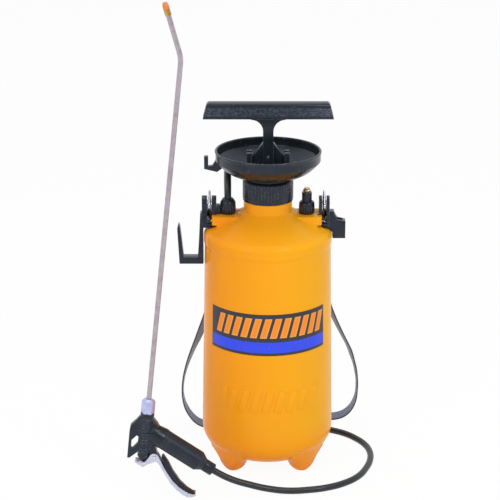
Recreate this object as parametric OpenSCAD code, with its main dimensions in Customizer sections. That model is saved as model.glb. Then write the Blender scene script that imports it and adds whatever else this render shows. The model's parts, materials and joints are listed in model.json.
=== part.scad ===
// Shoulder-carried hand pump pressure sprayer.
// Frame: millimetres, +Z up, the spray gun stands to the left (-X), the label faces -Y.
// Everything on the tank is drawn about the tank's own axis and moved to the frame by at_tank().

/* [Tank] */
// Radius of the tank under the shoulder bead
tank_r_top = 81; // [70:1:95]
// Radius of the tank above its base
tank_r_base = 86; // [70:1:100]
// Height of the underside between the feet
belly_z = 18; // [12:0.5:24]
// Radius of the rounded edge of the base
base_fillet = 31; // [20:1:34]
// Length of the straight side, from the base edge to the bead
side_len = 251; // [200:1:320]
// How far the shoulder bead stands out
bead_out = 1; // [0.5:0.1:2]
// Height of the shoulder bead
bead_h = 8; // [6:1:12]
// Radius of the shoulder's rounded edge
shoulder_fillet = 10; // [6:1:14]
// Slope of the shoulder
shoulder_angle = 28; // [24:1:32]
// Thickness of the tank wall
tank_wall = 2.5; // [1.5:0.1:3.5]
// Radius of the round feet
foot_r = 19; // [17:0.5:22]
// Radius of the hollow flare from each foot up into the tank's side
foot_flare_r = 26; // [20:1:36]
// Radius of the flat on each foot
foot_flat_r = 5; // [3:0.5:8]
// Distance of the feet from the tank's axis
foot_pitch_r = 63.5; // [58:0.5:68]

/* [Neck and ledges] */
// Outer radius of the bare neck
neck_r = 31; // [30:0.5:33]
// Outer radius of the threaded neck
neck_thread_r = 29; // [28.5:0.1:29.5]
// Radius of the filling mouth
mouth_r = 26; // [25:0.5:26.5]
// Height of the bare neck under the collar, from the ledge top
bare_neck_h = 19; // [16:1:24]
// Height of the threaded neck
neck_thread_h = 17; // [14:1:20]
// Height of the ledge tops over the bead's foot
ledge_rise = 40; // [38:1:44]
// Half of the ledges' width
ledge_half_w = 19; // [17:1:24]
// Thickness of the ledges' outer lips
lip_t = 11; // [8:1:13]
// Distance of the lip's edge from the strap ring it faces
lip_gap = 0.5; // [0.3:0.1:1]

/* [Label] */
// Height of the label's lower edge
label_z = 177; // [120:1:200]
// Height of the label
label_h = 55; // [30:1:80]
// Angle that the label covers
label_span = 116; // [60:2:140]
// Thickness of the label
label_t = 0.4; // [0.2:0.1:0.8]

/* [Funnel] */
// Outer radius of the funnel's rim
rim_r = 67.5; // [60:0.5:72]
// Height of the funnel's upright ring
ring_h = 13; // [8:1:18]
// Height of the funnel's bowl under its ring
bowl_h = 18.3; // [14:0.1:22]
// Height of the gap between the collar nut and the bowl
recess_h = 6; // [1:0.5:8]
// Thickness of the funnel
funnel_t = 2.2; // [1.6:0.1:3]
// Radius of the funnel's throat
throat_r = 22.5; // [22:0.1:23]
// Thickness of the funnel's clamped flange
flange_t = 3; // [2:0.5:4]
// Thickness of the gaskets under the funnel and the pump
gasket_t = 1.8; // [1:0.1:3]
// Outer radius of the collar nut
collar_r = 32; // [31.5:0.1:36]
// Height of the collar nut
collar_h = 27; // [25:1:34]
// Width of the hose hook on the funnel's rim
hook_w = 8; // [5:1:12]

/* [Pump] */
// Outer radius of the pump barrel
barrel_r = 19.9; // [19:0.1:20]
// Wall of the pump barrel
barrel_wall = 2.4; // [1.5:0.1:3]
// Length of the pump barrel
barrel_len = 278; // [240:1:300]
// Radius of the pump head's disc
head_r = 29.5; // [29:0.5:32]
// Thickness of the pump head's disc
head_t = 5; // [3:0.5:7]
// Radius of the pump rod
rod_r = 5; // [4:0.5:6]
// Height of the fork lugs
lug_h = 20.2; // [14:0.1:24]
// Length of the piston
piston_len = 18; // [14:1:24]
// Gap between the lowered piston and the barrel's floor
piston_rest = 7; // [6:0.5:12]

/* [Handle] */
// Width of the handle bar at its top
bar_top_w = 155; // [120:1:180]
// Width of the handle bar at its bottom
bar_bottom_w = 164; // [120:1:190]
// Height of the handle bar
bar_h = 21.5; // [18:0.5:30]
// Depth of the handle bar
bar_d = 15.5; // [15:0.5:24]
// Width of the handle's stem
stem_w = 13; // [12.5:0.5:18]
// Depth of the handle's stem
stem_d = 14; // [13:0.5:15]
// Height of the bar's underside over the pump head's disc
bar_lift = 63; // [56:0.5:80]
// Radius of the fillets under the bar
bar_fillet = 15; // [8:1:18]
// Number of finger grooves on each face of the bar
groove_count = 5; // [3:1:6]
// Depth of the finger grooves
groove_depth = 0.8; // [0.4:0.1:1.2]

/* [Tank fittings] */
// Distance of the hose outlet from the tank's axis
outlet_x = 51; // [50:0.5:53]
// Distance of the safety valve from the tank's axis
valve_x = 49.5; // [48:0.5:52]
// Outer radius of the two cap nuts
cap_nut_r = 9.85; // [9.6:0.05:10.5]
// Height of the hose nut
hose_nut_h = 20; // [18:1:24]
// Height of the valve nut
valve_nut_h = 16; // [14:1:18]
// Radius of the safety valve's body
valve_body_r = 6.35; // [5.5:0.05:6.6]
// Height of the safety valve's body over the ledge
valve_body_h = 28; // [26:0.5:38]
// Travel of the safety valve
valve_lift = 4; // [2:0.5:5]

/* [Strap hardware] */
// Distance of the left strap ring from the tank's axis
ring_x_left = 74.7; // [74.2:0.1:75.4]
// Distance of the right strap ring from the tank's axis
ring_x_right = 71.7; // [71.2:0.1:72.4]
// Width of the slots that the strap rings hang in
slot_w = 6; // [5.8:0.1:6.4]
// Height of the strap pins over the ledges
pin_rise = 17; // [16.5:0.5:19]
// Radius of the strap pins
pin_r = 2.2; // [1.6:0.1:2.6]
// Height of the cheeks over the ledges
cheek_h = 23; // [22:0.5:28]
// Radius of the strap rings' wire
ring_wire_r = 1.6; // [1.2:0.1:1.8]
// Width of the strap rings
ring_w = 28; // [26:1:32]
// Width of the shoulder strap
strap_w = 22; // [18:1:23]
// Thickness of the shoulder strap
strap_t = 1.6; // [1:0.1:2.2]
// Width of both brackets along Y
bracket_w = 24; // [18:1:26]
// Width of the gun's hook along Y
holder_w = 14; // [10:1:20]
// Width of the lance's socket along Y
socket_w = 13; // [12:1:18]
// Reach of the gun's hook out from its wall
hook_reach = 30.8; // [28:0.2:34]
// Depth of the gun's hook under the ledge
hook_depth = 66.6; // [60:0.2:76]
// Thickness of the hook's floor
hook_t = 8.5; // [7:0.5:12]

/* [Gun] */
// Lean of the gun and the lance
gun_lean = 6.1; // [0:0.1:8]
// Radius of the valve barrel
gun_r = 7.8; // [7:0.1:9]
// Length of the valve barrel
gun_len = 57; // [56:0.5:60]
// Radius of the ribs on the valve barrel
rib_r = 8.5; // [8:0.1:9.5]
// Spacing of the ribs on the valve barrel
rib_pitch = 4; // [3:0.5:6]
// Radius of the hand grip
grip_r = 12.8; // [11:0.1:14]
// Length of the hand grip
grip_len = 53.4; // [40:0.1:58]
// Angle of the hand grip below the gun's cross direction
grip_angle = 29.1; // [26:0.1:32]
// Radius of the hose ferrule
ferrule_r = 8; // [7:0.1:9]
// Length of the hose ferrule
ferrule_len = 14.5; // [12:0.5:20]
// Width of the trigger's channel
trigger_w = 13.2; // [13:0.1:16]
// Sheet thickness of the trigger
trigger_t = 1.4; // [1:0.1:1.6]
// Radius of the trigger's pivot pin
pivot_r = 2; // [1.5:0.1:2.5]
// Radius of the pull rod
pull_r = 1.6; // [1.2:0.1:1.8]
// Width of the finger guard
guard_w = 7; // [5:0.5:10]

/* [Lance] */
// Radius of the lance tube
lance_r = 3.1; // [2.5:0.1:4]
// Bore of the lance tube
lance_bore_r = 2.1; // [1.5:0.1:2.4]
// Distance from the gun's flange to the lance's bend
bend_w = 453; // [300:1:600]
// Angle of the lance's bend
bend_angle = 21.5; // [10:0.5:40]
// Radius of the lance's bend
bend_r = 40; // [30:1:60]
// Distance from the bend to the nozzle
tip_len = 51.8; // [40:0.1:80]
// Size of the union nut across its flats
union_flats = 15.4; // [15:0.1:18]
// Height of the union nut
union_h = 18.8; // [17:0.1:24]
// Length of the nozzle past the tube
nozzle_len = 15.6; // [13:0.1:20]

/* [Hose] */
// Outer diameter of the hose
hose_d = 8.5; // [7:0.1:9]

/* [Hidden] */
$fn = 72;

// Frame: the tank's axis stands here, so that the whole part is centred on the origin
tank_x = 26.5;
tank_y = 4.7;

// Clearances
run_fit = 0.05;
slide_fit = 0.1;
free_fit = 0.3;
floor_fit = 0.02;

// Tank levels
side_z0 = belly_z + base_fillet;
side_z1 = side_z0 + side_len;
bead_z0 = side_z1 + 4;
bead_z1 = bead_z0 + bead_h;
bead_r = tank_r_top + bead_out;
corner_r = bead_r - shoulder_fillet;
neck_base_z = bead_z1 + shoulder_fillet * sin(90 - shoulder_angle)
    + (corner_r + shoulder_fillet * cos(90 - shoulder_angle) - neck_r) * tan(shoulder_angle);
ledge_z = side_z1 + ledge_rise;
neck_step_z = ledge_z + bare_neck_h;
neck_top_z = neck_step_z + neck_thread_h;
foot_xy = foot_pitch_r * cos(45);
foot_z = sqrt(foot_r * foot_r - foot_flat_r * foot_flat_r);
foot_turn = 20;
foot_top_r = 32;
foot_lean = 15;
flare_x = (foot_r + foot_flare_r) * cos(foot_turn);
flare_z = foot_z - (foot_r + foot_flare_r) * sin(foot_turn);

// Ledges and their threaded bosses
boss_r = 7.6;
boss_h = 6;
port_r = 5;
lip_left = ring_x_left - slot_w / 2 + free_fit - lip_gap;
lip_right = ring_x_right - slot_w / 2 + free_fit - lip_gap;
lip_undercut = 6;

// Funnel levels, from the clamped flange up
flange_z = neck_top_z + gasket_t;
flange_r = neck_thread_r - 0.2;
throat_out_r = 25.4;
collar_top = neck_step_z + collar_h;
under_z = collar_top + recess_h;
floor_z = under_z + funnel_t;
column_r = throat_out_r + 3.6;
bowl_r0 = collar_r + 4;
ring_z = under_z + bowl_h;
rim_z = ring_z + ring_h;
ring_r = rim_r - 1;

// Pump levels, from the funnel's floor up
head_z = floor_z + gasket_t;
head_top = head_z + head_t;
barrel_z = head_z - barrel_len;
barrel_bore = barrel_r - barrel_wall;
barrel_floor = 3;
piston_z = barrel_z + barrel_floor + piston_rest;
bush_r = 8;
bush_top = head_top + 5;
hub_r = 12;
lug_x0 = 20.5;
lug_x1 = 27;
ear_w = 8;
ear_x = 24;
ear_gap = 0.6;
stem_z = bush_top + 0.3;
bar_z = head_top + bar_lift;
bar_top = bar_z + bar_h;
stem_bore_h = 24;
pin_z = stem_z + 10;
pin_hole_r = 1.5;

// Safety valve and hose outlet, from the ledge up
gasket2_z = ledge_z + boss_h;
gasket2_t = 1.2;
fitting_z = gasket2_z + gasket2_t;
fitting_t = 2.4;
fitting_r = boss_r - 0.2;
fitting_top = fitting_z + fitting_t;
spigot_r = port_r - 0.4;
nut_skirt_r = boss_r + 0.15;
valve_top = ledge_z + valve_body_h;
seat_z = ledge_z - 2;
valve_bore = 3.6;
valve_seal_t = 1.2;
plunger_h = 3.8;
stem_r = 1.5;
spring_top = valve_top - 3.5;
hose_r = hose_d / 2;
dip_r = 3.6;
dip_z = belly_z + tank_wall + 6;

// Brackets: profiles are drawn outwards from the tank's axis
pin_axis_z = ledge_z + pin_rise;
cheek_w = 18;
cheek_t_left = 5.8;
cheek_t_right = 3.7;
arm_w = bracket_w / 2;
strap_gap = 1.5;
arm_z1 = ledge_z - lip_t - free_fit;
arm_z0 = arm_z1 - 5;
peg_r = 2.4;
peg_y = -arm_w + 5;
function peg_u(lip) = lip - 3.2;
socket_x = 91.2;
socket_r = 4.6;

// Strap rings hang at this angle below the horizontal
ring_tilt = 50;
ring_front = pin_r + ring_wire_r + 0.3;
ring_back = 24;
ring_corner_r = 3;
loop_r = ring_wire_r + 0.1;
loop_t = 1;

// Gun frame: u runs across, w up along the lance, from the flange under the union nut
gun_x = -151;
gun_y = -122;
gun_z = 117;
bore_r = 2.5;
chamber_r = 5.2;
chamber_top = -22;
chamber_bottom = -40;
gland_len = 9;
spigot_len = 11;
spigot_out_r = 6;
grip_u = 22.8;
grip_w = -34.2;
taper_len = 7.8;
barb_r = 3.2;
pivot_u = 13.7;
pivot_w = -58.3;
pull_bottom = -76;
pull_nut_z = -73.9;
pull_nut_h = 2.4;
pull_travel = 4.7;
hose_grip_depth = 9;

// Lance: the straight leg ends and the bend's centre lies beside it
bend_leg = bend_r * tan(bend_angle / 2);
lance_flange_t = 1.3;
bend_swell = 0.05;
bend_lap = 0.5;

// The hose's route about the tank's axis, from over the hose nut to before the ferrule
HOSE_ROUTE = [[-51, 0.6, 364.5], [-51, 6, 378.5], [-51.3, 19, 391], [-51.8, 37, 395.7],
    [-52.3, 54.5, 391], [-52.8, 68, 378.2], [-53, 75, 361], [-52.8, 79.5, 339.5],
    [-52, 83, 312], [-50, 86, 275], [-47, 88, 238], [-43.5, 89.5, 200], [-39, 91, 162],
    [-34, 92.3, 125], [-28.5, 93, 88], [-21.5, 92.5, 55], [-10.5, 90.5, 28],
    [7, 88, 11.2], [29, 85.5, 5], [50, 81, 4.5], [70, 73, 4.5], [89, 63, 4.5],
    [107, 52, 4.5], [122, 36, 4.5], [133, 17, 4.5], [138, -5, 4.5], [137, -27, 4.5],
    [130, -52, 4.5], [118, -76, 4.5], [99, -95, 4.5], [75, -108, 4.5], [52, -114, 4.5],
    [27, -117, 4.8], [2, -119, 8.5], [-23, -121, 15.5], [-47, -122, 24]];

// The strap's centre line on each side: outwards, back, up, and the twist of its width
STRAP_LEFT = [[79.5, 31.5, 322, 4], [77, 42, 304, 12], [73.5, 51, 283, 20], [71.5, 58, 255, 26],
    [71, 64, 228, 30], [73.5, 69, 202, 32], [79, 72, 178, 31], [86.5, 74.5, 156, 29],
    [94.5, 77, 134, 26], [102.5, 80, 114, 19], [108.8, 83, 95, 13], [113, 85.5, 79, 8],
    [115.8, 88, 61, 3], [116, 89, 45.5, 0], [113, 89.5, 30.5, 0], [107, 90, 18, 0],
    [99.5, 90, 8.5, 0], [90, 90, 2.4, 0], [79, 91, 1, 0]];
STRAP_RIGHT = [[80, 32, 322, 4], [78, 42.5, 304, 12], [75, 51, 283, 18], [73, 58, 255, 22],
    [74, 64, 230, 24], [77, 68, 210, 25], [81.5, 71, 191, 24], [89.8, 74.5, 169.5, 21],
    [97.6, 78.5, 151.5, 19], [105.3, 83, 134.7, 17.5], [113, 88.5, 117.4, 16],
    [118.6, 94, 99, 12], [122.7, 98.5, 83.8, 8], [125.3, 102.5, 67, 4], [126.3, 106, 53.5, 1],
    [125.7, 108, 37.5, 0], [122.3, 110.5, 24, 0], [116.5, 112.5, 13.2, 0],
    [107.5, 114, 5.2, 0], [97, 114.8, 1.6, 0], [88, 115, 1, 0]];
STRAP_FLOOR = [[-50, 94.5], [-15, 99.5], [20, 105], [55, 110.5]];

// Helpers
function arc(cx, cy, r, a0, a1, n) = [for (i = [0:n]) let (a = a0 + (a1 - a0) * i / n)
    [cx + r * cos(a), cy + r * sin(a)]];
function unit(v) = v / norm(v);
function tank_r(z) = tank_r_base + (tank_r_top - tank_r_base) * (z - side_z0) / side_len;
function shoulder_z(r) = neck_base_z - (r - neck_r) * tan(shoulder_angle);
function shoulder_r(z) = neck_r + (neck_base_z - z) / tan(shoulder_angle);
function in_gun(u, w) = [gun_x + u * cos(gun_lean) + w * sin(gun_lean), gun_y,
    gun_z + w * cos(gun_lean) - u * sin(gun_lean)];
function on_grip(s) = in_gun(grip_u + s * cos(grip_angle), grip_w - s * sin(grip_angle));

module at_tank() translate([tank_x, tank_y, 0]) children();
module at_gun() at_tank() translate([gun_x, gun_y, gun_z]) rotate([0, gun_lean, 0]) children();
module at_grip() at_gun() translate([grip_u, 0, grip_w]) rotate([0, 90 + grip_angle, 0]) children();
module at_left() at_tank() mirror([1, 0, 0]) children();
module at_outlet() at_tank() translate([-outlet_x, 0, 0]) children();
module at_valve() at_tank() translate([valve_x, 0, 0]) children();

module ring(r_in, r_out, z0, z1) translate([0, 0, z0]) difference() {
    cylinder(r = r_out, h = z1 - z0);
    translate([0, 0, -1]) cylinder(r = r_in, h = z1 - z0 + 2);
}
module disc(r, z0, z1) translate([0, 0, z0]) cylinder(r = r, h = z1 - z0);
module plate(points, width) rotate([90, 0, 0])
    linear_extrude(width, center = true) polygon(points);

// Tank
function tank_profile(w) = concat(
    [[0, belly_z + w]],
    arc(tank_r_base - base_fillet, belly_z + base_fillet, base_fillet - w, -90, 0, 8),
    [[tank_r_top - w, side_z1]],
    [[bead_r - w, bead_z0]],
    arc(corner_r, bead_z1, shoulder_fillet - w, 0, 90 - shoulder_angle, 5),
    [[neck_r - w, neck_base_z - w / cos(shoulder_angle)]],
    [[0, neck_base_z - w / cos(shoulder_angle)]]);

module ledge(lip) {
    under = ledge_z - lip_t;
    intersection() {
        translate([neck_r - 4, -ledge_half_w, under]) cube([lip - neck_r + 4, 2 * ledge_half_w, lip_t]);
        cylinder(r = lip + 1.5, h = ledge_z + 1);
    }
    translate([neck_r - 4, -ledge_half_w, shoulder_z(lip)])
        cube([lip - lip_undercut - neck_r + 4, 2 * ledge_half_w, ledge_z - shoulder_z(lip) - 1]);
}

// A foot: a round end that flares upwards, w inside its outer skin
function foot_profile(w) = concat(
    arc(0, foot_z, foot_r - w, -90, -foot_turn, 8),
    arc(flare_x, flare_z, foot_flare_r + w, 180 - foot_turn - 6,
        acos((foot_top_r - w - flare_x) / (foot_flare_r + w)), 6),
    [[foot_top_r - w, side_z0], [0, side_z0]]);

module feet(w) intersection() {
    for (a = [45:90:315]) rotate([0, 0, a]) translate([foot_pitch_r, 0, 0])
        rotate_extrude() polygon(foot_profile(w));
    cylinder(r1 = tank_r_base - foot_lean - w, r2 = tank_r_base - 0.5 - w, h = side_z0 - 3 - w);
}

module tank() color("#f5a31f") at_tank() difference() {
    union() {
        rotate_extrude() polygon(tank_profile(0));
        feet(0);
        disc(neck_r, neck_base_z - 2, neck_step_z);
        disc(neck_thread_r, neck_step_z - 1, neck_top_z);
        ledge(lip_right);
        mirror([1, 0, 0]) ledge(lip_left);
        translate([-outlet_x, 0, 0]) disc(boss_r, ledge_z - 1, ledge_z + boss_h);
        translate([valve_x, 0, 0]) disc(boss_r, ledge_z - 1, ledge_z + boss_h);
    }
    rotate_extrude() polygon(tank_profile(tank_wall));
    feet(tank_wall);
    disc(mouth_r, neck_base_z - 20, neck_top_z + 1);
    translate([-outlet_x, 0, 0]) disc(port_r, ledge_z - 30, ledge_z + boss_h + 1);
    translate([valve_x, 0, 0]) disc(port_r, ledge_z - 30, ledge_z + boss_h + 1);
    translate([-peg_u(lip_left), peg_y, 0]) disc(peg_r + slide_fit, ledge_z - lip_t - 8, ledge_z + 1);
    translate([peg_u(lip_right), peg_y, 0]) disc(peg_r + slide_fit, ledge_z - lip_t - 8, ledge_z + 1);
}

module label() color("#2f3038") at_tank() rotate([0, 0, -90 - label_span / 2])
    rotate_extrude(angle = label_span) polygon([
        [tank_r(label_z) + run_fit, label_z],
        [tank_r(label_z) + run_fit + label_t, label_z],
        [tank_r(label_z + label_h) + run_fit + label_t, label_z + label_h],
        [tank_r(label_z + label_h) + run_fit, label_z + label_h]]);

// Funnel and collar
module neck_gasket() color("#202020") at_tank() ring(mouth_r + 0.2, flange_r, neck_top_z, flange_z);

// The bowl's curve: its underside with w = 0, its inside with the funnel's thickness
function bowl(w) = [for (i = [0:10]) let (t = i / 10)
    [bowl_r0 + (ring_r - 1 - bowl_r0 - 0.6 * w) * t, under_z + w + (bowl_h - 0.8) * t * t]];

module funnel() color("#26282a") at_tank() {
    rotate_extrude() polygon(concat(
        [[throat_r, flange_z], [flange_r, flange_z], [flange_r, flange_z + flange_t],
        [throat_out_r, flange_z + flange_t], [throat_out_r, collar_top + 0.2],
        [column_r, collar_top + 0.2], [column_r, under_z]],
        bowl(0),
        [[ring_r, ring_z + 0.4], [ring_r, rim_z - 3], [rim_r, rim_z - 2],
        [rim_r, rim_z - 0.8], [rim_r - 0.8, rim_z], [rim_r - 2.2, rim_z],
        [rim_r - 3, rim_z - 0.8], [ring_r - funnel_t, rim_z - 3.5], [ring_r - funnel_t, ring_z + 2]],
        reverse(bowl(funnel_t)), [[throat_r, floor_z]]));
    hose_hook();
}

module hose_hook() {
    tip = ring_r + 14.4;
    plate([[-tip, rim_z - 8], [5.1 - tip, rim_z - 8], [5.1 - tip, ring_z - 8], [10.5 - tip, ring_z - 7],
        [-ring_r - 0.2 + 1, ring_z + 1], [-ring_r + 8, ring_z - 7], [-ring_r + 10, ring_z - 9],
        [-ring_r + 2, ring_z - 15], [-tip, ring_z - 11]], hook_w);
}

module funnel_collar() color("#2b2c2e") at_tank() rotate_extrude() polygon([
    [neck_thread_r + slide_fit, neck_step_z], [collar_r, neck_step_z],
    [collar_r, collar_top - 2], [collar_r - 1.6, collar_top], [throat_out_r + slide_fit, collar_top],
    [throat_out_r + slide_fit, flange_z + flange_t], [neck_thread_r + slide_fit, flange_z + flange_t]]);

// Pump
module pump_gasket() color("#202020") at_tank()
    ring(throat_r + 0.2, head_r - 1.5, floor_z, head_z);

module pump_head() color("#232527") at_tank() {
    ring(bush_r + run_fit, head_r, head_z, head_top);
    ring(bush_r + run_fit, hub_r, head_top, bush_top - 0.5);
    ring(barrel_r + run_fit, throat_r - slide_fit, head_z - 18, head_z);
    for (side = [0, 180]) rotate([0, 0, side]) fork_lug();
}

module fork_lug() for (y = [-1, 1]) translate([lug_x0, y * (ear_w / 2 + ear_gap + 2) - 2, head_top - 1])
    cube([lug_x1 - lug_x0, 4, lug_h + 1]);

module rod_bush() color("#d8d8d0") at_tank() ring(rod_r + run_fit, bush_r, head_z - 4, bush_top);

module pump_barrel() color("#303234") at_tank() difference() {
    disc(barrel_r, barrel_z, head_z);
    disc(barrel_bore, barrel_z + barrel_floor, head_z + 1);
    disc(4, barrel_z - 1, barrel_z + barrel_floor + 1);
}

module foot_valve() color("#1c1c1c") at_tank() {
    disc(9, barrel_z - 2.4, barrel_z);
    disc(4 - slide_fit, barrel_z - 1, barrel_z + barrel_floor + 1.4);
}

// Handle: one outline for the bar, the stem and its ears
module pump_handle() color("#1f2224") at_tank() difference() {
    union() {
        intersection() {
            plate([[-bar_bottom_w / 2, bar_z], [bar_bottom_w / 2, bar_z], [bar_bottom_w / 2 - 0.6, bar_z + 4],
                [bar_top_w / 2, bar_top - 3], [bar_top_w / 2 - 3, bar_top],
                [3 - bar_top_w / 2, bar_top], [-bar_top_w / 2, bar_top - 3],
                [0.6 - bar_bottom_w / 2, bar_z + 4]], bar_d + 2);
            translate([-bar_bottom_w / 2, 0, bar_z]) rotate([90, 0, 90])
                linear_extrude(bar_bottom_w) polygon(bar_section());
        }
        plate(concat(
            [[bar_fillet + stem_w / 2, bar_z + 1]], [[-bar_fillet - stem_w / 2, bar_z + 1]],
            arc(-bar_fillet - stem_w / 2, bar_z - bar_fillet, bar_fillet, 90, 0, 6),
            [[-stem_w / 2, stem_z]], [[stem_w / 2, stem_z]],
            arc(bar_fillet + stem_w / 2, bar_z - bar_fillet, bar_fillet, 180, 90, 6)), stem_d);
        plate([[-stem_w / 2, head_top + 32.5], [-ear_x, head_top + 9], [-ear_x, head_top + 1],
            [-hub_r - 1, head_top + 1], [-hub_r - 1, stem_z], [hub_r + 1, stem_z], [hub_r + 1, head_top + 1],
            [ear_x, head_top + 1], [ear_x, head_top + 9], [stem_w / 2, head_top + 32.5]], ear_w);
    }
    disc(rod_r + run_fit, stem_z - 1, stem_z + stem_bore_h);
    translate([0, 0, pin_z]) rotate([90, 0, 0])
        cylinder(r = pin_hole_r, h = stem_d + 2, center = true, $fn = 24);
}

// Cross-section of the bar: depth along x, height along y, with grooves down both faces
function bar_section() = concat(
    arc(3 - bar_d / 2, 3, 3, 180, 270, 3), arc(bar_d / 2 - 3, 3, 3, 270, 360, 3),
    [for (i = [0:groove_count - 1], k = [0:2]) groove_point(1, i, k)],
    arc(bar_d / 2 - 4, bar_h - 4, 4, 0, 90, 4), arc(4 - bar_d / 2, bar_h - 4, 4, 90, 180, 4),
    [for (i = [groove_count - 1:-1:0], k = [2:-1:0]) groove_point(-1, i, k)]);
function groove_point(side, i, k) = [side * (bar_d / 2 - (k == 1 ? groove_depth : 0)),
    5 + (bar_h - 11) * (i + k / 3) / groove_count];

module pump_rod() color("#c9ccd0") at_tank() difference() {
    disc(rod_r, piston_z + 0.5, stem_z + stem_bore_h - 0.3);
    translate([0, 0, pin_z]) rotate([90, 0, 0])
        cylinder(r = pin_hole_r, h = 4 * rod_r, center = true, $fn = 24);
}

module handle_pin() color("#b8bbc0") at_tank() translate([0, 0, pin_z]) rotate([90, 0, 0])
    cylinder(r = pin_hole_r, h = stem_d - 1, center = true, $fn = 24);

module piston() color("#e2e2da") at_tank() difference() {
    ring(rod_r, barrel_bore - 0.5, piston_z, piston_z + piston_len);
    ring(barrel_bore - 4, barrel_bore + 1, piston_z + 6, piston_z + 12);
}

module piston_seal() color("#1c1c1c") at_tank()
    ring(barrel_bore - 3.9, barrel_bore - run_fit, piston_z + 6.1, piston_z + 11.9);

module piston_nut() color("#b8bbc0") at_tank() difference() {
    translate([0, 0, piston_z - 4]) cylinder(r = 8.5, h = 4, $fn = 6);
    disc(rod_r - 1.5, piston_z - 5, piston_z + 1);
}

// Hose outlet
module outlet_gasket() color("#202020") at_outlet() ring(port_r + 0.1, fitting_r, gasket2_z, fitting_z);

module outlet_fitting() color("#2e3032") at_outlet() difference() {
    union() {
        disc(fitting_r, fitting_z, fitting_top);
        disc(spigot_r, ledge_z - 15, fitting_z + 1);
    }
    disc(2, ledge_z - 16, fitting_top + 1);
    disc(dip_r + run_fit, ledge_z - 16, ledge_z - 7);
}

module hose_nut() color("#1f2123") at_outlet() difference() {
    cap_nut(hose_nut_h, hose_nut_h - 5, 6.6);
    disc(hose_r + free_fit / 2, ledge_z, ledge_z + hose_nut_h + 1);
}

// A cap nut over a boss: ribbed skirt, tapered top, and the space for boss and fitting
module cap_nut(height, straight, top_r) difference() {
    union() {
        disc(cap_nut_r, ledge_z + free_fit, ledge_z + straight);
        translate([0, 0, ledge_z + straight])
            cylinder(r1 = cap_nut_r, r2 = top_r, h = height - straight);
    }
    disc(nut_skirt_r, ledge_z, fitting_top + slide_fit);
}

module dip_tube() color("#e8e6da") at_outlet() ring(dip_r - 1.2, dip_r, dip_z, ledge_z - 7.1);

module dip_strainer() color("#d8d6ca") at_outlet() difference() {
    disc(6, dip_z - 5, dip_z + 6);
    disc(dip_r + run_fit, dip_z, dip_z + 7);
    disc(dip_r - 1.2, dip_z - 6, dip_z + 1);
}

// Safety valve
module valve_gasket() color("#202020") at_valve() ring(port_r + 0.1, fitting_r, gasket2_z, fitting_z);

module valve_body() color("#1f2123") at_valve() difference() {
    union() {
        disc(fitting_r, fitting_z, fitting_top);
        disc(spigot_r, seat_z - 6, fitting_z + 1);
        disc(valve_body_r, fitting_z, valve_top);
    }
    disc(valve_bore, seat_z, spring_top);
    disc(2, seat_z - 7, seat_z + 1);
    disc(stem_r + slide_fit, spring_top - 1, valve_top + 1);
}

module valve_nut() color("#1f2123") at_valve() difference() {
    cap_nut(valve_nut_h, valve_nut_h - 2, cap_nut_r - 1.5);
    disc(valve_body_r + slide_fit, ledge_z, ledge_z + valve_nut_h + 1);
}

module valve_seal() color("#1c1c1c") at_valve()
    disc(valve_bore - 0.4, seat_z + slide_fit, seat_z + valve_seal_t);

module valve_stem() color("#c9a24a") at_valve() {
    disc(valve_bore - 0.3, seat_z + valve_seal_t, seat_z + valve_seal_t + plunger_h);
    disc(stem_r, seat_z + valve_seal_t + 1, valve_top + 4.8);
}

module valve_spring() color("#b8bbc0") at_valve()
    ring(stem_r + 0.4, valve_bore - 0.4, seat_z + valve_seal_t + plunger_h, spring_top);

module valve_knob() color("#c9a24a") at_valve() difference() {
    union() {
        disc(3.4, valve_top + 0.3, valve_top + 2);
        disc(3.1, valve_top + 1.5, valve_top + 4.4);
        disc(3.6, valve_top + 3.9, valve_top + 5.6);
    }
    disc(stem_r + run_fit, valve_top, valve_top + 4.9);
}

module valve_ring() color("#d8d8e0") at_valve() translate([0, 0, valve_top + 2.9])
    rotate_extrude() translate([4.3, 0]) circle(r = 1.1, $fn = 24);

// Brackets on the ledges: two cheeks with a slot between them for the strap ring
module bracket_base(ring_x, lip, inner_t, outer) difference() {
    slot0 = ring_x - slot_w / 2;
    slot1 = ring_x + slot_w / 2;
    union() {
        translate([slot0 - inner_t, -cheek_w / 2, ledge_z + slide_fit]) cheek(inner_t);
        translate([slot1, -cheek_w / 2, ledge_z + slide_fit]) cheek(outer - slot1);
        translate([slot1, -arm_w, arm_z0])
            cube([outer - slot1, bracket_w - strap_gap, ledge_z - arm_z0 + 1]);
        translate([lip - lip_undercut + free_fit, -arm_w, arm_z0])
            cube([slot1 - lip + lip_undercut + 0.2, arm_w - 2, arm_z1 - arm_z0]);
        translate([peg_u(lip), peg_y, 0]) disc(peg_r, arm_z0 + 1, ledge_z + 1);
    }
    translate([ring_x, 0, pin_axis_z]) rotate([0, 90, 0])
        cylinder(r = pin_r, h = 40, center = true, $fn = 36);
    rotate_extrude() polygon([[0, 0], [bead_r + free_fit, 0], [bead_r + free_fit, bead_z1],
        [shoulder_r(arm_z0) + free_fit, arm_z0], [neck_r + free_fit, shoulder_z(neck_r) + free_fit],
        [0, shoulder_z(neck_r) + free_fit]]);
}

// One cheek with a rounded top, standing on the ledge
module cheek(t) {
    cube([t, cheek_w, cheek_h - cheek_w / 2]);
    intersection() {
        translate([0, cheek_w / 2, cheek_h - cheek_w / 2]) rotate([0, 90, 0])
            cylinder(r = cheek_w / 2, h = t);
        cube([t, cheek_w, cheek_h]);
    }
}

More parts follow.
